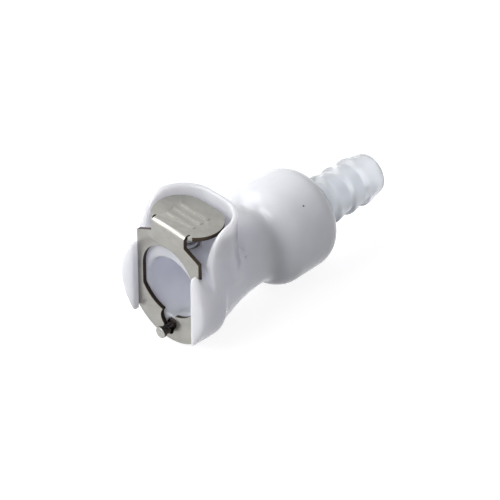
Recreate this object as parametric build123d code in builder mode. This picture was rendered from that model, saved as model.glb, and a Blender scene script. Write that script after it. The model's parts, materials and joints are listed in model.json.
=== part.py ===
from build123d import *
from math import acos, degrees, sqrt
import os

# Shut-off quick disconnect coupling body for 3/8 in tubing, in millimetres.
# The flow axis is +Y: the socket mouth is at the origin, the tube leaves at +Y, the thumb latch is up (+Z).

os.makedirs("parts", exist_ok=True)

# --- driving sizes -------------------------------------------------------------------------------
# collar and ears
collar_radius = 12.1
ear_reach = 3.15            # how far the ears stand forward of the socket mouth
ear_gap = 16.9              # clear width between the two ears
ear_round = 0.7             # rounding of the ears' front outer edges
collar_back = 3.05          # where the straight collar ends
collar_step_radius = 11.2   # radius just behind the collar's small step
collar_step_back = 4.85

# waist and valve bulb
waist_radius = 8.3
waist_y = 18.4
bulb_radius = 11.25
bulb_front_round = 5.5
bulb_front_angle = 50
bulb_start = 27.2           # where the front rounding reaches full radius
bulb_back = 39.4
bulb_back_round = 5.2
bulb_draft = 0.15           # loss of radius towards the back of the bulb

# flow passage
socket_radius = 7.02
socket_depth = 15.0
socket_chamfer = 0.3
neck_radius = 4.4
neck_length = 1.38          # straight neck between the socket's cone and the valve seat
chamber_radius = 7.4
plug_radius = 8.2
plug_front = 31.0
plug_fit = 0.02             # radial gap of the barb's plug in the bulb

# hood around the thumb pad
hood_top = 17.3
hood_front = 1.0
hood_brow_length = 6.0      # the front of each cheek is a quarter ellipse, this deep ...
hood_brow_height = 8.6      # ... and this tall, ending at the rim
hood_sections = [           # (height, front half width, back half width, back, corner radius)
    (-1.0, 11.7, 6.6, 16.0, 4.0),
    (5.0, 11.7, 9.2, 17.6, 6.0),
    (9.0, 11.0, 9.9, 15.2, 7.4),
    (13.0, 10.4, 10.2, 13.7, 7.9),
    (hood_top, 10.1, 10.1, 13.35, 7.9),
]
rim_width = 1.15
rim_round = 0.5
recess_draft = 0.4          # the recess narrows by this much from the rim to its floor
recess_floor = 9.8

# thumb latch
latch_thickness = 0.95
latch_back_gap = 0.2        # between the latch and the face it slides on
latch_front_gap = 0.15      # between the latch and the ears in front of it
latch_side_gap = 0.15
latch_half_width = 8.9
latch_bottom_radius = 11.9
shoulder_outer_z = 11.1
shoulder_inner_z = 13.05
neck_half_width = 4.7
opening_radius = 7.4
opening_centre_z = 3.2
lower_arc_radius = 8.7
lower_arc_centre_z = 3.05
notch_half_width = 1.8
keyhole_radius = 2.3
keyhole_z = -7.1
slot_half_width = 1.4
bend_radius = 0.2           # inside radius of the bend
pad_top = 15.9
pad_end_radius = 5.7
pad_end_x = 2.4
pad_back = 10.35
relief_width = 0.35
relief_depth = 0.5
rib_count = 3
rib_pitch = 2.0
rib_length = 8.0
rib_width = 0.8
rib_height = 0.2

# release pin
pin_below_rim = 2.8         # how far the pin's axis lies inside the collar's radius
pin_head_radius = 1.25
pin_head_length = 0.8
pin_neck_radius = 1.0
pin_reach = 3.6             # how far the pin's face stands forward of the socket mouth
pin_collar_radius = 1.6
pin_collar_front = -0.05
pin_collar_length = 1.0
pin_tail_radius = 0.5
pin_tail_length = 3.6
pin_travel = 1.9
pin_clearance = 0.1
pin_bore_depth = 4.1

# springs
spring_seat_gap = 0.03
wire_latch = 0.5
latch_coil_radius = 2.2
latch_coil_turns = 4
latch_coil_y = 4.5
latch_pocket_floor = 8.6
latch_pocket_gap = 0.3
wire_pin = 0.22
pin_coil_radius = 1.15
pin_coil_turns = 4
wire_valve = 0.7
valve_coil_radius = 4.6
valve_coil_turns = 4

# valve
head_radius = 6.3
head_back = 23.4
seat_gap = 0.3              # between the head's cone and its seat
seal_radius = 0.8           # section radius of the valve's O-ring
seal_seat_radius = 5.6      # where the O-ring lies on the seat
seal_gap = 0.02
stem_radius = 4.1
stem_gap = 0.2              # between the end of the socket and the valve's stem
stem_web = 1.2
button_radius = 2.6
button_length = 1.0
guide_count = 4
guide_gap = 0.15
guide_inner_radius = 5.4
guide_width = 1.6
guide_front = 22.6
guide_back = 27.0

# hose barb
barb_radius = 5.35
barb_tip_radius = 4.6
barb_tip_length = 5.0
barb_pitch = 4.15
barb_count = 3
barb_valley_radius = 4.65
barb_land = 0.45
barb_drop = 0.75
barb_end = 57.75
barb_bore_radius = 3.2
barb_bore_chamfer = 0.5
plug_seal_radius = 0.6      # section radius of the plug's O-ring
plug_seal_y = 34.0

# --- sizes that follow from the driving ones -----------------------------------------------------
latch_back = -latch_back_gap
latch_front = latch_back - latch_thickness
slot_front = latch_front - latch_front_gap
slot_half_gap = latch_half_width + latch_side_gap
ear_inner = ear_gap / 2
pad_under = pad_top - latch_thickness
bend_outer_radius = bend_radius + latch_thickness
pad_end_y = pad_back - pad_end_radius
back_radius = bulb_radius - bulb_draft
back_start = bulb_back - bulb_back_round
back_corner_radius = back_radius - bulb_back_round
neck_back = socket_depth + socket_radius - neck_radius + neck_length
stem_front = socket_depth + stem_gap
pin_z = pin_below_rim - collar_radius
brow_y = hood_front + hood_brow_length
brow_z = hood_top - hood_brow_height
rim_seam = rim_round / 20   # how closely an edge has to follow the rim to be rounded with it
cone_back = neck_back + chamber_radius - neck_radius
beyond = bulb_back + collar_radius  # longer than any cut has to be


def plan_outline(front_half, back_half, front, back, corner_radius):
    """Plan of the hood or its recess: straight cheeks, a flat back and two round back corners."""
    with BuildSketch() as plan:
        with BuildLine():
            Polyline(
                (-front_half, front), (front_half, front), (back_half, back),
                (-back_half, back), close=True,
            )
        make_face()
        fillet(plan.vertices().group_by(Axis.Y)[-1], corner_radius)
    return plan.sketch


def coil(mean_radius, wire, length, turns):
    """A compression spring along +Z, its ends closed by flat rings."""
    rise = length - wire
    with BuildPart() as spring:
        with BuildLine():
            path = Helix(rise / turns, rise, mean_radius, center=(0, 0, wire / 2))
        with BuildSketch(Plane(origin=path @ 0, z_dir=path % 0)):
            Circle(wire / 2)
        sweep()
        with Locations((0, 0, wire / 2), (0, 0, length - wire / 2)):
            Torus(mean_radius, wire / 2)
    return spring.part


def rim_height(y):
    """Height of the hood's rim: flat along the top, then a quarter ellipse down to each cheek."""
    down_brow = min(1, max(0, brow_y - y) / hood_brow_length)
    return brow_z + hood_brow_height * sqrt(1 - down_brow**2)


def runs_along_rim(edge):
    """True for the rim's outer and inner edges, but not for the seams that cross it."""
    across = edge.bounding_box().size.Y < rim_seam and (edge @ 0).Y < brow_y + rim_seam
    return not across and (edge @ 0.5).Z > recess_floor and all(
        abs(point.Z - rim_height(point.Y)) < rim_seam for point in (edge @ 0, edge @ 0.5, edge @ 1)
    )


# --- hood: lofted up from the collar, its cheeks swept back at the front -------------------------
with BuildPart() as hood:
    for height, front_half, back_half, back, corner_radius in hood_sections:
        with BuildSketch(Plane.XY.offset(height)):
            add(plan_outline(front_half, back_half, 0, back, corner_radius))
    loft()
    with BuildSketch(Plane.YZ):
        with BuildLine():
            Polyline(
                (brow_y, hood_top), (beyond, hood_top), (beyond, 0), (hood_front, 0),
                (hood_front, brow_z),
            )
            EllipticalCenterArc(
                (brow_y, brow_z), hood_brow_length, hood_brow_height, 90, arc_size=90
            )
        make_face()
    extrude(amount=beyond, both=True, mode=Mode.INTERSECT)

# --- body: one moulding, turned waist and bulb with a hood and two ears --------------------------
with BuildPart() as body:
    with BuildSketch(Plane.XY):
        with BuildLine():
            collar = Polyline(
                (0, bulb_back), (0, -ear_reach), (collar_radius - ear_round, -ear_reach)
            )
            ear_edge = CenterArc(
                (collar_radius - ear_round, ear_round - ear_reach), ear_round, -90, 90
            )
            wall = Line(ear_edge @ 1, (collar_radius, collar_back))
            step = Spline(
                wall @ 1, (collar_step_radius, collar_step_back),
                tangents=[(0, 1), (-0.3, 1)],
            )
            nose = CenterArc(
                (bulb_radius - bulb_front_round, bulb_start), bulb_front_round,
                -bulb_front_angle, bulb_front_angle,
            )
            Spline(
                step @ 1, (waist_radius, waist_y), nose @ 0, tangents=[(-0.3, 1), nose % 0]
            )
            Line(nose @ 1, (back_radius, back_start))
            corner = CenterArc(
                (back_corner_radius, back_start), bulb_back_round, 0, 90
            )
            Line(corner @ 1, (0, bulb_back))
        make_face()
    revolve(axis=Axis.Y)
    add(hood.part)

    # channel between the ears, and the wider slot behind them for the latch
    with BuildSketch(Plane.XZ):
        Rectangle(ear_gap, 2 * beyond)
    extrude(amount=beyond, mode=Mode.SUBTRACT)
    with BuildSketch(Plane.XZ):
        Rectangle(2 * slot_half_gap, 2 * beyond)
    extrude(amount=-slot_front, mode=Mode.SUBTRACT)

    # flow passage: socket, neck with its valve seat, chamber and plug bore
    with BuildSketch(Plane.XY):
        with BuildLine():
            Polyline(
                (0, -beyond), (socket_radius + socket_chamfer, -beyond),
                (socket_radius + socket_chamfer, 0), (socket_radius, socket_chamfer),
                (socket_radius, socket_depth),
                (neck_radius, socket_depth + socket_radius - neck_radius),
                (neck_radius, neck_back), (chamber_radius, cone_back),
                (chamber_radius, plug_front), (plug_radius, plug_front),
                (plug_radius, beyond), (0, beyond), (0, -beyond),
            )
        make_face()
    revolve(axis=Axis.Y, mode=Mode.SUBTRACT)

    # recess for the thumb pad, open to the front, and the pocket for its spring
    _, rim_half_width, _, rim_back, rim_corner = hood_sections[-1]
    for height, inset in ((recess_floor, rim_width + recess_draft), (hood_top, rim_width)):
        half_width = rim_half_width - inset
        with BuildSketch(Plane.XY.offset(height)):
            add(plan_outline(
                half_width, half_width, -beyond, rim_back - inset, rim_corner - inset
            ))
    loft(mode=Mode.SUBTRACT)
    fillet(body.edges().filter_by(runs_along_rim), rim_round)
    with BuildSketch(Plane.XY.offset(latch_pocket_floor)):
        with Locations((0, latch_coil_y)):
            Circle(latch_coil_radius + wire_latch / 2 + latch_pocket_gap)
    extrude(until=Until.LAST, mode=Mode.SUBTRACT)

    # stepped bore for the release pin
    with BuildSketch(Plane.XZ):
        with Locations((0, pin_z)):
            Circle(pin_collar_radius + pin_clearance)
    extrude(amount=-pin_bore_depth, mode=Mode.SUBTRACT)
    tail_end = pin_collar_front + pin_collar_length + pin_tail_length
    with BuildSketch(Plane.XZ):
        with Locations((0, pin_z)):
            Circle(pin_tail_radius + pin_clearance)
    extrude(amount=-(tail_end + pin_travel + pin_clearance), mode=Mode.SUBTRACT)

# --- thumb latch: one stamping of stainless sheet, bent into a pad -------------------------------
with BuildPart() as thumb_latch:
    # the pad, then the neck and its bend
    with BuildSketch(Plane.XY.offset(pad_under)):
        with Locations((0, pad_end_y)):
            SlotCenterToCenter(2 * pad_end_x, 2 * pad_end_radius)
        with Locations((0, relief_depth)):
            Rectangle(
                2 * (neck_half_width + relief_width), 2 * pad_end_radius,
                align=(Align.CENTER, Align.MAX), mode=Mode.SUBTRACT,
            )
    extrude(amount=latch_thickness)
    bend_y = latch_back + bend_radius
    bend_z = pad_under - bend_radius
    with BuildSketch(Plane.YZ):
        with BuildLine():
            outer_bend = CenterArc((bend_y, bend_z), bend_outer_radius, 90, 90)
            inner_bend = CenterArc((bend_y, bend_z), bend_radius, 90, 90)
            strip_end = relief_depth + bend_outer_radius
            Polyline(
                outer_bend @ 0, (strip_end, pad_top), (strip_end, pad_under), inner_bend @ 0
            )
            Polyline(
                outer_bend @ 1, (latch_front, opening_centre_z + opening_radius),
                (latch_back, opening_centre_z + opening_radius), inner_bend @ 1,
            )
        make_face()
    extrude(amount=neck_half_width, both=True)

    # the plate, with its round opening and the keyhole for the pin
    with BuildSketch(Plane.XZ.offset(latch_back_gap)):
        with BuildLine():
            corner_z = -((latch_bottom_radius**2 - latch_half_width**2) ** 0.5)
            edge = Polyline(
                (-latch_half_width, corner_z), (-latch_half_width, shoulder_outer_z),
                (-neck_half_width, shoulder_inner_z), (-neck_half_width, bend_z),
                (neck_half_width, bend_z), (neck_half_width, shoulder_inner_z),
                (latch_half_width, shoulder_outer_z), (latch_half_width, corner_z),
            )
            ThreePointArc(edge @ 0, (0, -latch_bottom_radius), edge @ 1)
        make_face()
        with BuildLine():
            foot_z = lower_arc_centre_z - (lower_arc_radius**2 - opening_radius**2) ** 0.5
            top_arc = CenterArc((0, opening_centre_z), opening_radius, 0, 180)
            Line(top_arc @ 0, (opening_radius, foot_z))
            Line(top_arc @ 1, (-opening_radius, foot_z))
            ThreePointArc(
                (-opening_radius, foot_z), (0, lower_arc_centre_z - lower_arc_radius),
                (opening_radius, foot_z),
            )
        make_face(mode=Mode.SUBTRACT)
        with Locations((0, keyhole_z)):
            Circle(keyhole_radius, mode=Mode.SUBTRACT)
            Rectangle(
                2 * notch_half_width, -keyhole_z, align=(Align.CENTER, Align.MIN),
                mode=Mode.SUBTRACT,
            )
            Rectangle(
                2 * slot_half_width, keyhole_z - pin_z, align=(Align.CENTER, Align.MAX),
                mode=Mode.SUBTRACT,
            )
        with Locations((0, pin_z)):
            Circle(slot_half_width, mode=Mode.SUBTRACT)
    extrude(amount=latch_thickness)

    # plain grip ribs across the pad
    with BuildSketch(Plane.XY.offset(pad_top)):
        with Locations((0, pad_end_y)):
            with GridLocations(0, rib_pitch, 1, rib_count):
                SlotOverall(rib_length, rib_width)
    extrude(amount=rib_height)

# --- release pin: head, neck through the latch, collar behind it and a guide tail ----------------
with BuildPart() as release_pin:
    with BuildSketch(Plane.XY):
        with BuildLine():
            Polyline(
                (0, -pin_reach), (pin_head_radius, -pin_reach),
                (pin_head_radius, pin_head_length - pin_reach),
                (pin_neck_radius, pin_head_length - pin_reach),
                (pin_neck_radius, pin_collar_front),
                (pin_collar_radius, pin_collar_front),
                (pin_collar_radius, pin_collar_front + pin_collar_length),
                (pin_tail_radius, pin_collar_front + pin_collar_length),
                (pin_tail_radius, tail_end), (0, tail_end), (0, -pin_reach),
            )
        make_face()
    revolve(axis=Axis.Y)
release_pin.part = Pos(0, 0, pin_z) * release_pin.part

# --- springs -------------------------------------------------------------------------------------
latch_spring_length = pad_under - latch_pocket_floor - 2 * spring_seat_gap
with BuildPart() as latch_spring:
    with Locations((0, latch_coil_y, latch_pocket_floor + spring_seat_gap)):
        add(coil(latch_coil_radius, wire_latch, latch_spring_length, latch_coil_turns))

collar_end = pin_collar_front + pin_collar_length
pin_spring_length = pin_bore_depth - collar_end - 2 * spring_seat_gap
with BuildPart() as pin_spring:
    with Locations(Location((0, collar_end + spring_seat_gap, pin_z), (-90, 0, 0))):
        add(coil(pin_coil_radius, wire_pin, pin_spring_length, pin_coil_turns))

valve_spring_length = plug_front - head_back - 2 * spring_seat_gap
with BuildPart() as valve_spring:
    with Locations(Location((0, head_back + spring_seat_gap, 0), (-90, 0, 0))):
        add(coil(valve_coil_radius, wire_valve, valve_spring_length, valve_coil_turns))

# --- valve: a poppet with a cross-shaped stem, guide vanes and an O-ring -------------------------
cone_shift = seat_gap * 2**0.5      # the head's cone lies parallel to the seat
cone_tip_radius = neck_radius - cone_shift
seal_shift = (seal_radius + seal_gap) / 2**0.5
seal_ring_radius = seal_seat_radius - seal_shift
seal_ring_y = neck_back + seal_seat_radius - neck_radius + seal_shift
with BuildPart() as valve_poppet:
    with BuildSketch(Plane.XY):
        with BuildLine():
            Polyline(
                (0, neck_back), (cone_tip_radius, neck_back),
                (head_radius, neck_back + head_radius - cone_tip_radius),
                (head_radius, head_back), (0, head_back), (0, neck_back),
            )
        make_face()
        with Locations((seal_ring_radius, seal_ring_y)):
            Circle(seal_radius + seal_gap, mode=Mode.SUBTRACT)
    revolve(axis=Axis.Y)
    with BuildSketch(Plane.XZ.offset(-stem_front)):
        Rectangle(2 * stem_radius, stem_web)
        Rectangle(stem_web, 2 * stem_radius)
        Circle(stem_radius, mode=Mode.INTERSECT)
    extrude(amount=stem_front - neck_back - seat_gap)
    with BuildSketch(Plane.XZ.offset(-stem_front)):
        Circle(button_radius)
    extrude(amount=-button_length)
    with BuildSketch(Plane.XZ.offset(-guide_front)):
        with PolarLocations(0, guide_count):
            with Locations((guide_inner_radius, 0)):
                Rectangle(chamber_radius, guide_width, align=(Align.MIN, Align.CENTER))
        Circle(chamber_radius - guide_gap, mode=Mode.INTERSECT)
    extrude(amount=guide_front - guide_back)

with BuildPart() as valve_seal:
    with BuildSketch(Plane.XY):
        with Locations((seal_ring_radius, seal_ring_y)):
            Circle(seal_radius)
    revolve(axis=Axis.Y)

# --- hose barb: a plug that closes the bulb, a round shoulder and the barbed tube -----------------
plug_outer = plug_radius - plug_fit
plug_seal_ring = plug_outer - plug_seal_radius
with BuildPart() as hose_barb:
    with BuildSketch(Plane.XY):
        with BuildLine():
            plug_angle = degrees(acos((plug_outer - back_corner_radius) / bulb_back_round))
            shoulder = CenterArc(
                (back_corner_radius, back_start), bulb_back_round, plug_angle, 90 - plug_angle
            )
            barbs = [(barb_valley_radius, bulb_back)]
            tip_crest = barb_end - barb_tip_length
            for number in reversed(range(barb_count)):
                crest = tip_crest - number * barb_pitch
                if number < barb_count - 1:
                    barbs.append((barb_valley_radius, crest - barb_pitch + barb_land + barb_drop))
                barbs += [(barb_radius, crest - barb_land), (barb_radius, crest)]
            Polyline(
                shoulder @ 0, (plug_outer, plug_front), (barb_bore_radius, plug_front),
                (barb_bore_radius, barb_end - barb_bore_chamfer),
                (barb_bore_radius + barb_bore_chamfer, barb_end), (barb_tip_radius, barb_end),
                *barbs[::-1], shoulder @ 1,
            )
        make_face()
        with Locations((plug_seal_ring, plug_seal_y)):
            Rectangle(
                2 * plug_seal_radius + 2 * seal_gap, 2 * plug_seal_radius + 4 * seal_gap,
                mode=Mode.SUBTRACT,
            )
    revolve(axis=Axis.Y)

with BuildPart() as barb_seal:
    with BuildSketch(Plane.XY):
        with Locations((plug_seal_ring, plug_seal_y)):
            Circle(plug_seal_radius)
    revolve(axis=Axis.Y)

# --- labels and files ----------------------------------------------------------------------------
body.part.label = "body"
thumb_latch.part.label = "thumb_latch"
latch_spring.part.label = "latch_spring"
release_pin.part.label = "release_pin"
pin_spring.part.label = "pin_spring"
valve_poppet.part.label = "valve_poppet"
valve_seal.part.label = "valve_seal"
valve_spring.part.label = "valve_spring"
hose_barb.part.label = "hose_barb"
barb_seal.part.label = "barb_seal"
export_step(body.part, "parts/body.step")
export_step(thumb_latch.part, "parts/thumb_latch.step")
export_step(latch_spring.part, "parts/latch_spring.step")
export_step(release_pin.part, "parts/release_pin.step")
export_step(pin_spring.part, "parts/pin_spring.step")
export_step(valve_poppet.part, "parts/valve_poppet.step")
export_step(valve_seal.part, "parts/valve_seal.step")
export_step(valve_spring.part, "parts/valve_spring.step")
export_step(hose_barb.part, "parts/hose_barb.step")
export_step(barb_seal.part, "parts/barb_seal.step")
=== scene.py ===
import bmesh
import bpy
import json
import numpy as np
from math import cos, pi, radians, sin
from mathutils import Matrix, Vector


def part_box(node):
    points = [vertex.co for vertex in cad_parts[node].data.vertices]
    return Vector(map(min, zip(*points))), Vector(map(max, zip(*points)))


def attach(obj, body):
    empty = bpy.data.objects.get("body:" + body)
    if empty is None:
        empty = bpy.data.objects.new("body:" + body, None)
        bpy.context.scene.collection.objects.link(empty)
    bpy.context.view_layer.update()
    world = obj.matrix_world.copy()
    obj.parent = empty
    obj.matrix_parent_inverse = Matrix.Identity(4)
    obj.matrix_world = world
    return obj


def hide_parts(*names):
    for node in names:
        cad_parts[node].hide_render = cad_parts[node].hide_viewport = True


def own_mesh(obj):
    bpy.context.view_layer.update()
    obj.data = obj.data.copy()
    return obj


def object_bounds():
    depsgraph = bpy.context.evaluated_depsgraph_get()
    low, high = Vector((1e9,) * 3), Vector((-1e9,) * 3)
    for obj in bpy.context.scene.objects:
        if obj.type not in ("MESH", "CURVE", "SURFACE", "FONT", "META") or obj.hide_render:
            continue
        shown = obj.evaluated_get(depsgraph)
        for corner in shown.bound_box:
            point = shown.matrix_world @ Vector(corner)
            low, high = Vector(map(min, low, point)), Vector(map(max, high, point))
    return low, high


# White quick disconnect coupling with a steel thumb latch. +Y is the flow axis from the socket to the
# barb and +Z is up, towards the thumb pad. Lengths are in metres and angles in degrees, except where a
# note says otherwise.

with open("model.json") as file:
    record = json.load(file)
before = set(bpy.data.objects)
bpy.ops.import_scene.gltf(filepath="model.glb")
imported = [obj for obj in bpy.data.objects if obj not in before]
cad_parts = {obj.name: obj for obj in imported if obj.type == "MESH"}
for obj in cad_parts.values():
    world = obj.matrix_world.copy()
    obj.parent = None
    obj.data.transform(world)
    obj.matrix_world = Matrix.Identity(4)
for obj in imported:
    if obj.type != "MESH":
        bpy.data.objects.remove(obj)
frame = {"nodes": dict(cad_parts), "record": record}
cadBounds = [list(corner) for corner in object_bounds()]
mm = 0.001
tiny = 1e-9                # keeps a division from meeting zero
scene = bpy.context.scene
bodyOf = {node: body for body, nodes in frame["record"]["behaviour"]["bodies"].items() for node in nodes}


# --- shader helpers ---

class Value:
    # wraps a socket: + and * on it add Math nodes to its tree
    def __init__(self, shader, socket):
        self.shader = shader
        self.socket = socket

    def maths(self, operation, other):
        return self.shader.node("ShaderNodeMath", {"operation": operation}, {0: self, 1: other})

    def __add__(self, other):
        return self.maths("ADD", other)

    def __mul__(self, other):
        return self.maths("MULTIPLY", other)

    __radd__ = __add__
    __rmul__ = __mul__


class Shader:
    # the node tree of a material or a world: node() adds a node and gives one of its outputs
    def __init__(self, owner):
        owner.use_nodes = True
        self.owner = owner
        self.tree = owner.node_tree
        self.tree.nodes.clear()

    def node(self, kind, settings={}, sockets={}, output=0):
        made = self.tree.nodes.new(kind)
        for key, value in settings.items():
            setattr(made, key, value)
        for key, value in sockets.items():
            if isinstance(value, Value):
                self.tree.links.new(value.socket, made.inputs[key])
            elif isinstance(value, tuple) and len(made.inputs[key].default_value) == 4:
                made.inputs[key].default_value = (*value, 1)
            else:
                made.inputs[key].default_value = value
        return Value(self, made.outputs[output] if len(made.outputs) else None)

    def objectPoint(self):
        return self.node("ShaderNodeTexCoord", output="Object")

    def noise(self, point, size, detail):
        # cloudy 0 to 1 pattern whose lumps are about size metres across
        return self.node("ShaderNodeTexNoise", {}, {"Vector": point, "Scale": 1 / size, "Detail": detail})

    def blend(self, amount, first, second):
        # a Mix node takes its colours at sockets 6 and 7 and gives the blend at output 2
        return self.node(
            "ShaderNodeMix", {"data_type": "RGBA"}, {"Factor": amount, 6: first, 7: second}, output=2
        )

    def bump(self, height, distance):
        return self.node("ShaderNodeBump", {}, {"Height": height, "Distance": distance})

    def rayIs(self, *kinds):
        # 1 for light paths of one of these kinds, else 0
        path = self.tree.nodes.new("ShaderNodeLightPath")
        found, *others = [Value(self, path.outputs[f"Is {kind} Ray"]) for kind in kinds]
        for other in others:
            found = found.maths("MAXIMUM", other)
        return found

    def finish(self, **sockets):
        named = {key.replace("_", " "): value for key, value in sockets.items()}
        surface = self.node("ShaderNodeBsdfPrincipled", {}, named)
        self.node("ShaderNodeOutputMaterial", {}, {"Surface": surface})
        return self.owner


def newMaterial(name):
    return Shader(bpy.data.materials.new(name))


def ramp(shader, value, low, high):
    # 0 below low, 1 above high, straight between
    return shader.node(
        "ShaderNodeMapRange", {"clamp": True}, {"Value": value, "From Min": low, "From Max": high}
    )


# --- mesh helpers ---

def gridFaces(rows, columns, wrapRows=False):
    # quads of a grid of points, its columns joined in a ring, its rows too if wrapRows
    row = np.arange(rows if wrapRows else rows - 1)[:, None]
    column = np.arange(columns)[None, :]
    after = (row + 1) % rows
    beside = (column + 1) % columns
    corners = np.broadcast_arrays(
        row * columns + column, row * columns + beside, after * columns + beside, after * columns + column
    )
    return np.stack(corners, axis=-1).reshape(-1, 4)


def makeMesh(name, points, faces):
    mesh = bpy.data.meshes.new(name)
    mesh.from_pydata(points.reshape(-1, 3).tolist(), [], faces.tolist())
    return mesh


weldDistance = 0.001 * mm
wireWeldDistance = 0.0001 * mm


def closeMesh(mesh, distance=weldDistance):
    # merges doubled points, so that poles and seams close, and turns the faces outwards
    build = bmesh.new()
    build.from_mesh(mesh)
    bmesh.ops.remove_doubles(build, verts=build.verts, dist=distance)
    bmesh.ops.dissolve_degenerate(build, edges=build.edges, dist=distance)
    bmesh.ops.recalc_face_normals(build, faces=build.faces)
    build.to_mesh(mesh)
    build.free()


def addPiece(name, mesh, material, node, sharpAngle=None):
    # the finished mesh stands for a node, on its body and with its material slot
    mesh.polygons.foreach_set("use_smooth", np.ones(len(mesh.polygons), dtype=bool))
    if sharpAngle:
        mesh.set_sharp_from_angle(angle=radians(sharpAngle))
    mesh.materials.clear()
    mesh.materials.append(material)
    piece = bpy.data.objects.new(name, mesh)
    scene.collection.objects.link(piece)
    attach(piece, bodyOf[node])
    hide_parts(node)
    print("piece:", name, len(mesh.polygons), "faces")
    return piece


def mergedMesh(node):
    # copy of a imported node, whose loose triangles get shared points
    mesh = frame["nodes"][node].data.copy()
    build = bmesh.new()
    build.from_mesh(mesh)
    bmesh.ops.remove_doubles(build, verts=build.verts, dist=weldDistance)
    build.to_mesh(mesh)
    build.free()
    return mesh


def applyModifiers(mesh, modifiers, weights=None, levels=10):
    # modifiers is a list of (type, settings); weights, in so many levels, go in a vertex group named soft
    holder = bpy.data.objects.new("holder", mesh)
    scene.collection.objects.link(holder)
    if weights is not None:
        group = holder.vertex_groups.new(name="soft")
        for level in range(1, levels + 1):
            chosen = np.flatnonzero(np.round(weights * levels) == level)
            group.add(chosen.tolist(), level / levels, "REPLACE")
    for number, (kind, settings) in enumerate(modifiers):
        modifier = holder.modifiers.new(str(number), kind)
        for key, value in settings.items():
            setattr(modifier, key, value)
    shaped = bpy.data.meshes.new_from_object(holder.evaluated_get(bpy.context.evaluated_depsgraph_get()))
    bpy.data.objects.remove(holder)
    return shaped


def getVectors(elements, key):
    # three numbers of each point or face as an array, such as its place or its normal
    values = np.empty(len(elements) * 3)
    elements.foreach_get(key, values)
    return values.reshape(-1, 3)


def setPoints(mesh, points):
    mesh.vertices.foreach_set("co", points.ravel())
    mesh.update()


def roundedProfile(corners, steps=6):
    # corners are (y, radius, rounding): each is replaced by an arc tangent to both of its sides
    corners = np.array(corners, dtype=float)
    places, rounding = corners[:, :2], corners[:, 2]
    before = np.roll(places, 1, axis=0) - places
    after = np.roll(places, -1, axis=0) - places
    before /= np.linalg.norm(before, axis=1, keepdims=True)
    after /= np.linalg.norm(after, axis=1, keepdims=True)
    halfAngle = np.arccos(np.clip((before * after).sum(axis=1), -1, 1)) / 2
    reach = rounding / np.tan(halfAngle)
    start = places + before * reach[:, None]
    end = places + after * reach[:, None]
    # a quadratic curve from start to end, bent towards the corner, is close to that arc
    t = np.linspace(0, 1, steps)[None, :, None]
    curve = (1 - t) ** 2 * start[:, None] + 2 * t * (1 - t) * places[:, None] + t**2 * end[:, None]
    return curve.reshape(-1, 2)


def turnedMesh(name, profile, axisHeight=0.0, segments=96):
    # a closed profile of (y, radius) turned about the line x = 0, z = axisHeight
    angle = np.linspace(0, 2 * pi, segments, endpoint=False)[None, :]
    y, radius = profile[:, :1], profile[:, 1:]
    x, z = radius * np.cos(angle), radius * np.sin(angle) + axisHeight
    points = np.stack([x, np.broadcast_to(y, x.shape), z], axis=-1)
    mesh = makeMesh(name, points, gridFaces(len(profile), segments, wrapRows=True))
    closeMesh(mesh)
    return mesh


def coilMesh(name, start, axis, length, meanRadius, wire, turns, steps=48, sides=14, flatTurns=0.75):
    # a wire of round section on a helix about axis; its first and last turns lie flat, as ground ends do
    t = np.linspace(0, 1, int(turns * steps) + 1)
    flat = flatTurns / turns
    rise = np.clip((t - flat) / (1 - 2 * flat), 0, 1)
    angle = 2 * pi * turns * t
    height = wire / 2 + (length - wire) * rise
    axis = np.array(axis, dtype=float)
    across = np.array([1.0, 0, 0])
    up = np.cross(axis, across)
    outward = np.cos(angle)[:, None] * across + np.sin(angle)[:, None] * up
    centre = np.array(start) + height[:, None] * axis + meanRadius * outward
    tangent = np.gradient(centre, axis=0)
    tangent /= np.linalg.norm(tangent, axis=1, keepdims=True)
    second = np.cross(tangent, outward)
    turn = np.linspace(0, 2 * pi, sides, endpoint=False)
    ring = np.cos(turn)[None, :, None] * outward[:, None] + np.sin(turn)[None, :, None] * second[:, None]
    points = centre[:, None] + wire / 2 * ring
    # the wire's two ends close on their centre points
    first, last = (np.broadcast_to(end[None, None], (1, sides, 3)) for end in (centre[0], centre[-1]))
    points = np.concatenate([first, points, last])
    mesh = makeMesh(name, points, gridFaces(len(points), sides))
    closeMesh(mesh, wireWeldDistance)
    return mesh


# --- materials ---

acetal = dict(
    colour=(0.85, 0.865, 0.96), shade=(0.81, 0.825, 0.93), cloud=6 * mm, cloudLow=0.35, cloudHigh=0.65,
    ripple=2.2 * mm, rippleDepth=0.006 * mm, haze=0.35 * mm, hazeDepth=0.04, hazeGloss=0.1, gloss=0.13,
    refraction=1.48, clear=0.0, scatter=0.85, scatterDepth=8.0 * mm, scatterColour=(1.0, 0.95, 1.0),
)
bluishAcetal = {
    **acetal, "colour": (0.93, 0.96, 1.0), "shade": (0.90, 0.94, 0.99), "scatter": 0.7, "clear": 0.66,
}
dullAcetal = {**acetal, "colour": (0.72, 0.73, 0.77), "shade": (0.68, 0.69, 0.74)}
speck = dict(
    place=(6.98 * mm, 30.66 * mm, 8.72 * mm), inner=0.14 * mm, outer=0.26 * mm, colour=(0.03, 0.03, 0.04),
)


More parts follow.
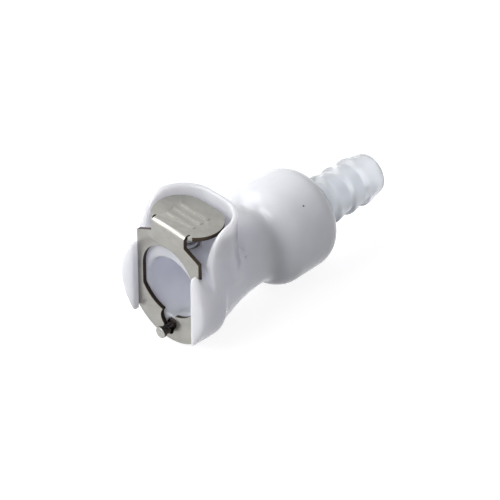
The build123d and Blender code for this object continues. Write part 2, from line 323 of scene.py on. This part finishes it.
def mouldedAcetal(name, look, marked=False):
    # glossy translucent white: slow clouds in the colour, sink ripples and fine haze in the gloss
    shader = newMaterial(name)
    point = shader.objectPoint()
    cloud = shader.noise(point, look["cloud"], detail=3)
    haze = shader.noise(point, look["haze"], detail=4)
    ripple = shader.noise(point, look["ripple"], detail=1)
    clouded = ramp(shader, cloud, look["cloudLow"], look["cloudHigh"])
    colour = shader.blend(clouded, look["shade"], look["colour"])
    if marked:  # one dark speck moulded into the plastic
        away = shader.node(
            "ShaderNodeVectorMath", {"operation": "DISTANCE"}, {0: point, 1: speck["place"]}, output="Value"
        )
        inside = ramp(shader, away, speck["outer"], speck["inner"])
        colour = shader.blend(inside, colour, speck["colour"])
    return shader.finish(
        Base_Color=colour,
        Roughness=look["gloss"] + haze * look["hazeGloss"],
        IOR=look["refraction"],
        Transmission_Weight=look["clear"],
        Subsurface_Weight=look["scatter"],
        Subsurface_Radius=look["scatterColour"],
        Subsurface_Scale=look["scatterDepth"],
        Normal=shader.bump(ripple + haze * look["hazeDepth"], look["rippleDepth"]),
    )


rolledSteel = dict(
    colour=(0.39, 0.385, 0.36), dull=(0.315, 0.31, 0.285), edge=(0.06, 0.045, 0.035),
    dullLow=0.38, dullHigh=0.62, grainAcross=0.09 * mm, grainAlong=1.6 * mm, grainShare=0.6,
    grainDepth=0.0012 * mm, grainGloss=0.14, blotch=2.4 * mm, pit=0.16 * mm, pitDepth=0.5, pitGloss=0.05,
    gloss=0.30, edgeGloss=0.12,
)


def stampedSteel(name, look):
    # satin rolled sheet: fine grain drawn along X, faint blotches, and sheared edges of rougher torn metal
    # whose near-black colour is partly the metal's own and partly painted shade and painted dark reflection
    shader = newMaterial(name)
    point = shader.objectPoint()
    squeeze = (look["grainAcross"] / look["grainAlong"], 1, 1)
    stretched = shader.node("ShaderNodeMapping", {}, {"Vector": point, "Scale": squeeze})
    grain = shader.noise(stretched, look["grainAcross"], detail=3)
    blotch = shader.noise(point, look["blotch"], detail=3)
    pit = shader.noise(point, look["pit"], detail=2)
    # sheared marks the cut faces: their near-black colour is partly rougher torn metal and partly painted
    # shade and painted dark reflection
    sheared = shader.node("ShaderNodeAttribute", {"attribute_name": "sheared"}, output="Fac")
    uneven = grain * look["grainShare"] + blotch * (1 - look["grainShare"])
    bright = ramp(shader, uneven, look["dullLow"], look["dullHigh"])
    face = shader.blend(bright, look["dull"], look["colour"])
    gloss = look["gloss"] + grain * look["grainGloss"] + pit * look["pitGloss"]
    return shader.finish(
        Base_Color=shader.blend(sheared, face, look["edge"]),
        Metallic=1.0,
        Roughness=gloss + sheared * look["edgeGloss"],
        Normal=shader.bump(grain + pit * look["pitDepth"], look["grainDepth"]),
    )


barSteel = dict(
    colour=(0.46, 0.455, 0.44), dull=(0.34, 0.335, 0.32), shadedSide=(0.07, 0.06, 0.055),
    shadeStart=0.05 * mm, shadeFull=0.2 * mm, polish=0.5 * mm, dullLow=0.35, dullHigh=0.7,
    polishDepth=0.004 * mm, polishGloss=0.16, gloss=0.2,
)


def turnedSteel(name, look, faceY):
    # machined bar: a slightly uneven polish on its face, which stands at faceY, and sides painted near
    # black as painted shade and painted dark reflection
    shader = newMaterial(name)
    point = shader.objectPoint()
    polish = shader.noise(point, look["polish"], detail=3)
    along = shader.node("ShaderNodeSeparateXYZ", {}, {"Vector": point}, output="Y")
    bright = ramp(shader, polish, look["dullLow"], look["dullHigh"])
    face = shader.blend(bright, look["dull"], look["colour"])
    # behind the face the colour fades to near black: painted shade and painted dark reflection on the pin's
    # sides
    behind = ramp(shader, along, faceY + look["shadeStart"], faceY + look["shadeFull"])
    return shader.finish(
        Base_Color=shader.blend(behind, face, look["shadedSide"]),
        Metallic=1.0,
        Roughness=look["gloss"] + polish * look["polishGloss"],
        Normal=shader.bump(polish, look["polishDepth"]),
    )


springWire = dict(
    oxide=(0.20, 0.19, 0.18), bright=(0.36, 0.35, 0.33), oxideSize=0.6 * mm, oxideLow=0.4, oxideHigh=0.65,
    grain=0.05 * mm, grainGloss=0.16, grainDepth=0.001 * mm, gloss=0.30,
)


def drawnWire(name, look):
    # spring wire: drawn grain and a thin uneven oxide
    shader = newMaterial(name)
    point = shader.objectPoint()
    oxide = shader.noise(point, look["oxideSize"], detail=4)
    grain = shader.noise(point, look["grain"], detail=2)
    bare = ramp(shader, oxide, look["oxideLow"], look["oxideHigh"])
    return shader.finish(
        Base_Color=shader.blend(bare, look["oxide"], look["bright"]),
        Metallic=1.0,
        Roughness=look["gloss"] + grain * look["grainGloss"],
        Normal=shader.bump(grain, look["grainDepth"]),
    )


blackRubber = dict(
    colour=(0.018, 0.018, 0.019), worn=(0.035, 0.035, 0.037), wipe=1.1 * mm, wipeGloss=0.2, gloss=0.38,
    pore=0.06 * mm, poreDepth=0.002 * mm,
)


def nitrileRubber(name, look):
    # black seal rubber with a soft lubricated sheen
    shader = newMaterial(name)
    point = shader.objectPoint()
    wipe = shader.noise(point, look["wipe"], detail=3)
    pores = shader.noise(point, look["pore"], detail=2)
    return shader.finish(
        Base_Color=shader.blend(wipe, look["colour"], look["worn"]),
        Roughness=look["gloss"] + wipe * look["wipeGloss"],
        Normal=shader.bump(pores, look["poreDepth"]),
    )


bodyPlastic = mouldedAcetal("body_plastic_white", acetal, marked=True)
barbPlastic = mouldedAcetal("barb_plastic_bluish", bluishAcetal)
valvePlastic = mouldedAcetal("valve_plastic_white", dullAcetal)
latchSteel = stampedSteel("latch_steel_satin", rolledSteel)
springSteel = drawnWire("spring_wire", springWire)
sealRubber = nitrileRubber("seal_rubber", blackRubber)
print("materials: ready")


# --- body: the moulding, its edges softened as a mould's are ---

housing = dict(
    voxel=0.25 * mm, firstPolish=1, polish=3, smoothing=0.5,
    cornerX=2.2 * mm, cornerY=5.45 * mm, wallRadius=7.9 * mm,   # the hood's round back corners in plan
    valley=2.6 * mm, fadeFrom=1.0 * mm, fadeTo=9.0 * mm, foot=1 * mm, share=0.7, repeats=6,
    relax=60, relaxReach=2 * mm, relaxFrom=3 * mm, wallSlack=0.4 * mm, waistSlack=0.1 * mm,
    slice=0.25 * mm, pinRoom=0.12 * mm, tailRadius=0.5 * mm, boreSearch=0.6, boreFacing=0.3,
)


def waistProfile(points):
    # radius of the turned waist at each y, read along its underside, where no hood stands on it
    x, y, z = points.T
    number = ((y - y.min()) / housing["slice"]).astype(int)
    below = (np.abs(x) < housing["slice"] * 2) & (z < 0)
    radius = np.zeros(number.max() + 1)
    np.maximum.at(radius, number[below], -z[below])
    middle = y.min() + (np.arange(len(radius)) + 0.5) * housing["slice"]
    return lambda place: np.interp(place, middle, radius)


def fromCorner(x, y):
    # x and y parts of the way out from the hood's corner centres, and its length: in plan the wall is
    # a straight run between two round corners, and straight cheeks in front of them
    alongX = x - np.clip(x, -housing["cornerX"], housing["cornerX"])
    alongY = y - np.minimum(y, housing["cornerY"])
    return alongX, alongY, np.maximum(np.hypot(alongX, alongY), tiny)


def uprightHood(mesh):
    # Behind the cheeks the hood's wall stands upright and meets the waist in a round valley. With a the
    # height over the waist and b the distance outside the wall, the filleted surface is where
    # (valley - a)^2 + (valley - b)^2 = valley^2. Points outside it are drawn in to it, step by step.
    h = housing
    points = getVectors(mesh.vertices, "co")
    waist = waistProfile(points)
    for repeat in range(h["repeats"]):
        x, y, z = points.T
        alongX, alongY, distance = fromCorner(x, y)
        plan = np.stack([alongX / distance, alongY / distance, 0 * x], axis=1)
        across = np.maximum(np.hypot(x, z), tiny)
        radial = np.stack([x / across, 0 * x, z / across], axis=1)
        overWaist = np.clip(h["valley"] - across + waist(y), 0, None)
        overWall = np.clip(h["valley"] - distance + h["wallRadius"], 0, None)
        reach = np.maximum(np.hypot(overWaist, overWall), tiny)
        fade = np.clip((y - h["fadeFrom"]) / (h["fadeTo"] - h["fadeFrom"]), 0, 1)
        fade = fade**2 * (3 - 2 * fade) * np.clip(z / h["foot"], 0, 1)
        pull = h["share"] * np.maximum(h["valley"] - reach, 0) * fade
        points -= (pull / reach)[:, None] * (overWaist[:, None] * radial + overWall[:, None] * plan)
    setPoints(mesh, points)


def valleyWeights(mesh):
    # 1 within relaxReach of both the wall and the waist, fading to 0 at twice that
    h = housing
    points = getVectors(mesh.vertices, "co")
    x, y, z = points.T
    proud = np.hypot(x, z) - waistProfile(points)(y)
    beyond = fromCorner(x, y)[2] - h["wallRadius"]
    nearWaist = np.clip(2 - proud / h["relaxReach"], 0, 1) * (proud > -h["waistSlack"])
    nearWall = np.clip(2 - beyond / h["relaxReach"], 0, 1) * (beyond > -h["wallSlack"])
    return nearWaist * nearWall * (z > 0) * (y > h["relaxFrom"])


def clearPinBore(mesh):
    # the voxels narrow the bore of the release pin's collar and tail: its wall is drawn back by pinRoom
    h = housing
    low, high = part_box("release_pin")
    points = getVectors(mesh.vertices, "co")
    radial = points - (0, 0, (low.z + high.z) / 2)
    radial[:, 1] = 0
    distance = np.linalg.norm(radial, axis=1, keepdims=True)
    outward = (getVectors(mesh.vertices, "normal") * radial).sum(axis=1, keepdims=True)
    inward = outward < -h["boreFacing"] * distance
    for radius in ((high.z - low.z) / 2, h["tailRadius"]):
        wanted = radius + h["pinRoom"]
        wall = inward & (distance > h["boreSearch"] * wanted) & (distance < wanted)
        points += radial * (wanted / distance - 1) * wall
    setPoints(mesh, points)


def smoothing(iterations, **settings):
    return "SMOOTH", {"factor": housing["smoothing"], "iterations": iterations, **settings}


def shapeBody():
    # the solid is sampled on a fine grid of voxels, its hood set upright, then sampled again and relaxed
    remesh = ("REMESH", {"mode": "VOXEL", "voxel_size": housing["voxel"]})
    mesh = applyModifiers(mergedMesh("body"), [remesh, smoothing(housing["firstPolish"])])
    uprightHood(mesh)
    mesh = applyModifiers(mesh, [remesh, smoothing(housing["polish"])])
    mesh = applyModifiers(mesh, [smoothing(housing["relax"], vertex_group="soft")], valleyWeights(mesh))
    clearPinBore(mesh)
    return mesh


addPiece("housing", shapeBody(), bodyPlastic, "body")


# --- hose barb: plug, round shoulder and three soft-crested barbs ---

barb = dict(   # in millimetres: places along the flow axis, radii, and how far corners are rounded
    plugFront=31.0, plugRadius=8.18, plugRound=0.1,
    shoulderRadius=5.2, shoulderCentre=(34.2, 5.9), shoulderSteps=14, arcRound=0.001, shoulderRound=0.35,
    count=3, pitch=4.4, valley=4.72, valleyRound=0.7, rise=0.85, crest=5.42, crestRound=0.5, land=0.55,
    fallRound=1.0, tipCrest=53.1, end=57.75, tip=4.42, tipRound=0.3,
    bore=3.2, boreRound=0.05, boreChamfer=0.5, chamferRound=0.1,
)


def shapeBarb():
    b = barb
    shoulderY, shoulderR = b["shoulderCentre"]
    corners = [
        (b["end"] - b["boreChamfer"], b["bore"], b["boreRound"]),
        (b["plugFront"], b["bore"], b["boreRound"]), (b["plugFront"], b["plugRadius"], b["plugRound"]),
    ]
    # the shoulder is an arc that carries on the bulb's round back
    first = np.arccos((b["plugRadius"] - shoulderR) / b["shoulderRadius"])
    turn = np.linspace(first, pi / 2, b["shoulderSteps"])
    arcY = shoulderY + b["shoulderRadius"] * np.sin(turn)
    arcR = shoulderR + b["shoulderRadius"] * np.cos(turn)
    corners += [(y, r, b["arcRound"]) for y, r in zip(arcY, arcR)]
    corners.append((shoulderY + b["shoulderRadius"], b["valley"], b["shoulderRound"]))
    # each barb climbs quickly to a round crest and falls gently towards the tip
    for number in reversed(range(b["count"])):
        crest = b["tipCrest"] - number * b["pitch"]
        corners += [
            (crest - b["land"] - b["rise"], b["valley"], b["valleyRound"]),
            (crest - b["land"], b["crest"], b["crestRound"]), (crest, b["crest"], b["fallRound"]),
        ]
    corners += [
        (b["end"], b["tip"], b["tipRound"]), (b["end"], b["bore"] + b["boreChamfer"], b["chamferRound"]),
    ]
    return turnedMesh("hose_barb_turned", roundedProfile(corners) * mm, segments=128)


addPiece("barb", shapeBarb(), barbPlastic, "hose_barb", sharpAngle=50)


# --- thumb latch: the stamping, with broken edges and sheared sides painted dark, partly torn metal and partly painted shade ---

latch = dict(
    edgeBreak=0.07 * mm, flatAngle=1.0, edgeAngle=35, square=0.55,
    bendZ=14.75 * mm, bendY=0.0, padTop=15.905 * mm,   # the plate is below bendZ, the bend before bendY
)


def shapeLatch():
    mesh = mergedMesh("thumb_latch")
    build = bmesh.new()
    build.from_mesh(mesh)
    bmesh.ops.dissolve_limit(
        build, angle_limit=radians(latch["flatAngle"]), verts=build.verts, edges=build.edges
    )
    build.to_mesh(mesh)
    build.free()
    mesh = applyModifiers(mesh, [
        ("BEVEL", {"width": latch["edgeBreak"], "segments": 2, "limit_method": "ANGLE",
                   "angle_limit": radians(latch["edgeAngle"]), "use_clamp_overlap": True}),
    ])
    # a face is sheared where it stands square to the sheet: the sheet faces Y in the plate, Z in the pad
    # and turns from one to the other in the bend
    acrossY, acrossZ = np.abs(getVectors(mesh.polygons, "normal")).T[1:]
    y, z = getVectors(mesh.polygons, "center").T[1:]
    facing = np.where(z < latch["bendZ"], acrossY, acrossZ)
    facing = np.where((z > latch["bendZ"]) & (y < latch["bendY"]), np.hypot(acrossY, acrossZ), facing)
    sheared = (facing < latch["square"]) & (z < latch["padTop"])
    mesh.attributes.new("sheared", "FLOAT", "FACE").data.foreach_set("value", sheared.astype(np.float32))
    return mesh


addPiece("latch", shapeLatch(), latchSteel, "thumb_latch", sharpAngle=30)


# --- release pin: head, neck, collar and tail turned from bar ---

pin = dict(   # in millimetres, places along the flow axis
    face=-3.6, head=1.25, headLength=0.8, neck=1.0, collar=1.6, collarFront=-0.05, collarLength=1.0,
    tail=0.4, tailLength=3.2, faceRound=0.14, backRound=0.1, collarRound=0.08, stepRound=0.04,
)


def shapePin():
    p = pin
    collarBack = p["collarFront"] + p["collarLength"]
    end = collarBack + p["tailLength"]
    headBack = p["face"] + p["headLength"]
    corners = [
        (end, 0, 0), (p["face"], 0, 0),
        (p["face"], p["head"], p["faceRound"]), (headBack, p["head"], p["backRound"]),
        (headBack, p["neck"], p["stepRound"]), (p["collarFront"], p["neck"], p["stepRound"]),
        (p["collarFront"], p["collar"], p["collarRound"]), (collarBack, p["collar"], p["collarRound"]),
        (collarBack, p["tail"], p["stepRound"]), (end, p["tail"], p["backRound"]),
    ]
    low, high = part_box("release_pin")
    profile = roundedProfile(corners) * mm
    return turnedMesh("release_pin_turned", profile, axisHeight=(low.z + high.z) / 2, segments=64)


pinSteel = turnedSteel("pin_steel_turned", barSteel, pin["face"] * mm)
addPiece("pin", shapePin(), pinSteel, "release_pin", sharpAngle=40)


# --- springs: coils of wire ---

alongY, alongZ = 1, 2
latchCoil = dict(joint="latch_slide", meanRadius=2.2 * mm, wire=0.5 * mm, turns=5.5, way=alongZ)
pinCoil = dict(joint="pin_slide", meanRadius=1.15 * mm, wire=0.22 * mm, turns=5.5, way=alongY)
valveCoil = dict(joint="valve_slide", meanRadius=4.6 * mm, wire=0.7 * mm, turns=5.0, way=alongY)


def addSpring(name, node, joint, meanRadius, wire, turns, way):
    # the coil fills its node's length; its fixed point, below or at its rear seat if it lies along Y, is
    # worked out but not used
    low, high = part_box(node)
    start = (low + high) / 2
    start[way] = low[way]
    length = high[way] - low[way]
    axis = [0, 0, 0]
    axis[way] = 1
    fixed = start.copy()
    if way == alongY:
        fixed.y = high.y
    piece = addPiece(name, coilMesh(name, start, axis, length, meanRadius, wire, turns), springSteel, node)
    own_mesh(piece)


addSpring("latch_coil", "latch_spring", **latchCoil)
addSpring("pin_coil", "pin_spring", **pinCoil)
addSpring("valve_coil", "valve_spring", **valveCoil)


# --- valve and seals, inside the bulb ---

addPiece("poppet", mergedMesh("valve_poppet"), valvePlastic, "valve_poppet", sharpAngle=30)
addPiece("valve_ring", mergedMesh("valve_seal"), sealRubber, "valve_seal", sharpAngle=60)
addPiece("barb_ring", mergedMesh("barb_seal"), sealRubber, "barb_seal", sharpAngle=60)


# --- camera ---

camera = dict(
    azimuth=45.24, elevation=36.57, distance=710 * mm, aim=(0, 22.14 * mm, -1.74 * mm), lens=247.9,
    sensorWidth=36, clipEnd=10,
)
azimuth, elevation = radians(camera["azimuth"]), radians(camera["elevation"])
towardsCamera = Vector((sin(azimuth) * cos(elevation), -cos(azimuth) * cos(elevation), sin(elevation)))
cameraRight = Vector((cos(azimuth), sin(azimuth), 0))
cameraUp = towardsCamera.cross(cameraRight)
eye = bpy.data.objects.new("camera", bpy.data.cameras.new("camera"))
scene.collection.objects.link(eye)
eye.data.lens = camera["lens"]
eye.data.sensor_width = camera["sensorWidth"]
eye.data.clip_end = camera["clipEnd"]
eye.location = Vector(camera["aim"]) + towardsCamera * camera["distance"]
eye.rotation_euler = (-towardsCamera).to_track_quat("-Z", "Y").to_euler()
scene.camera = eye


# --- floor, lamps and world ---

studio = dict(   # a lamp's place is in parts to the camera's right, up and towards it
    floorSize=1.2, floorColour=(0.32, 0.32, 0.33), floorGlow=0.86, floorGrain=4 * mm, grainShade=0.99,
    skyStrength=0.30, skyColour=(0.95, 0.95, 1.0),
    key=dict(right=-0.85, up=0.8, near=0.18, distance=0.6, size=0.42, power=2.5),
    front=dict(right=-0.64, up=0.19, near=0.75, distance=0.6, size=0.3, power=1.9),
    fill=dict(right=0.9, up=0.25, near=0.7, distance=0.8, size=0.5, power=0.5, colour=(1.0, 0.98, 0.97)),
)


def addFloor():
    # pale paper that takes the coupling's shadow and glows where it is seen, so that it comes out white
    half = studio["floorSize"] / 2
    z = cadBounds[0][2]
    points = np.array([(-half, -half, z), (half, -half, z), (half, half, z), (-half, half, z)])
    shader = newMaterial("floor")
    grain = shader.noise(shader.objectPoint(), studio["floorGrain"], detail=2)
    darker = tuple(studio["grainShade"] * part for part in studio["floorColour"])
    colour = shader.blend(grain, studio["floorColour"], darker)
    paper = shader.node("ShaderNodeBsdfDiffuse", {}, {"Color": colour})
    strength = shader.rayIs("Camera", "Glossy") * studio["floorGlow"]
    glow = shader.node("ShaderNodeEmission", {}, {"Strength": strength})
    both = shader.node("ShaderNodeAddShader", {}, {0: paper, 1: glow})
    shader.node("ShaderNodeOutputMaterial", {}, {"Surface": both})
    mesh = makeMesh("floor", points, np.array([[0, 1, 2, 3]]))
    mesh.materials.append(shader.owner)
    floor = bpy.data.objects.new("floor", mesh)
    scene.collection.objects.link(floor)


def addLamp(name, right, up, near, distance, size, power, colour=(1, 1, 1)):
    # a square lamp placed from the camera's point of view, aimed at the middle of the coupling
    direction = (cameraRight * right + cameraUp * up + towardsCamera * near).normalized()
    lamp = bpy.data.objects.new(name, bpy.data.lights.new(name, "AREA"))
    scene.collection.objects.link(lamp)
    lamp.data.shape = "SQUARE"
    lamp.data.size = size
    lamp.data.energy = power
    lamp.data.color = colour
    lamp.location = Vector(camera["aim"]) + direction * distance
    lamp.rotation_euler = (-direction).to_track_quat("-Z", "Y").to_euler()


def lightWorld():
    # a soft pale sky gives the light, and plain white shows behind, in mirrors and through clear plastic
    shader = Shader(bpy.data.worlds.new("studio"))
    sky = shader.node(
        "ShaderNodeBackground", {}, {"Color": studio["skyColour"], "Strength": studio["skyStrength"]}
    )
    white = shader.node("ShaderNodeBackground", {}, {"Color": (1, 1, 1), "Strength": 1})
    shown = shader.rayIs("Camera", "Glossy", "Transmission")
    both = shader.node("ShaderNodeMixShader", {}, {0: shown, 1: sky, 2: white})
    shader.node("ShaderNodeOutputWorld", {}, {"Surface": both})
    scene.world = shader.owner


addFloor()
for lamp in ("key", "front", "fill"):
    addLamp(lamp, **studio[lamp])
lightWorld()
scene.view_settings.view_transform = "Standard"
print("studio: ready")
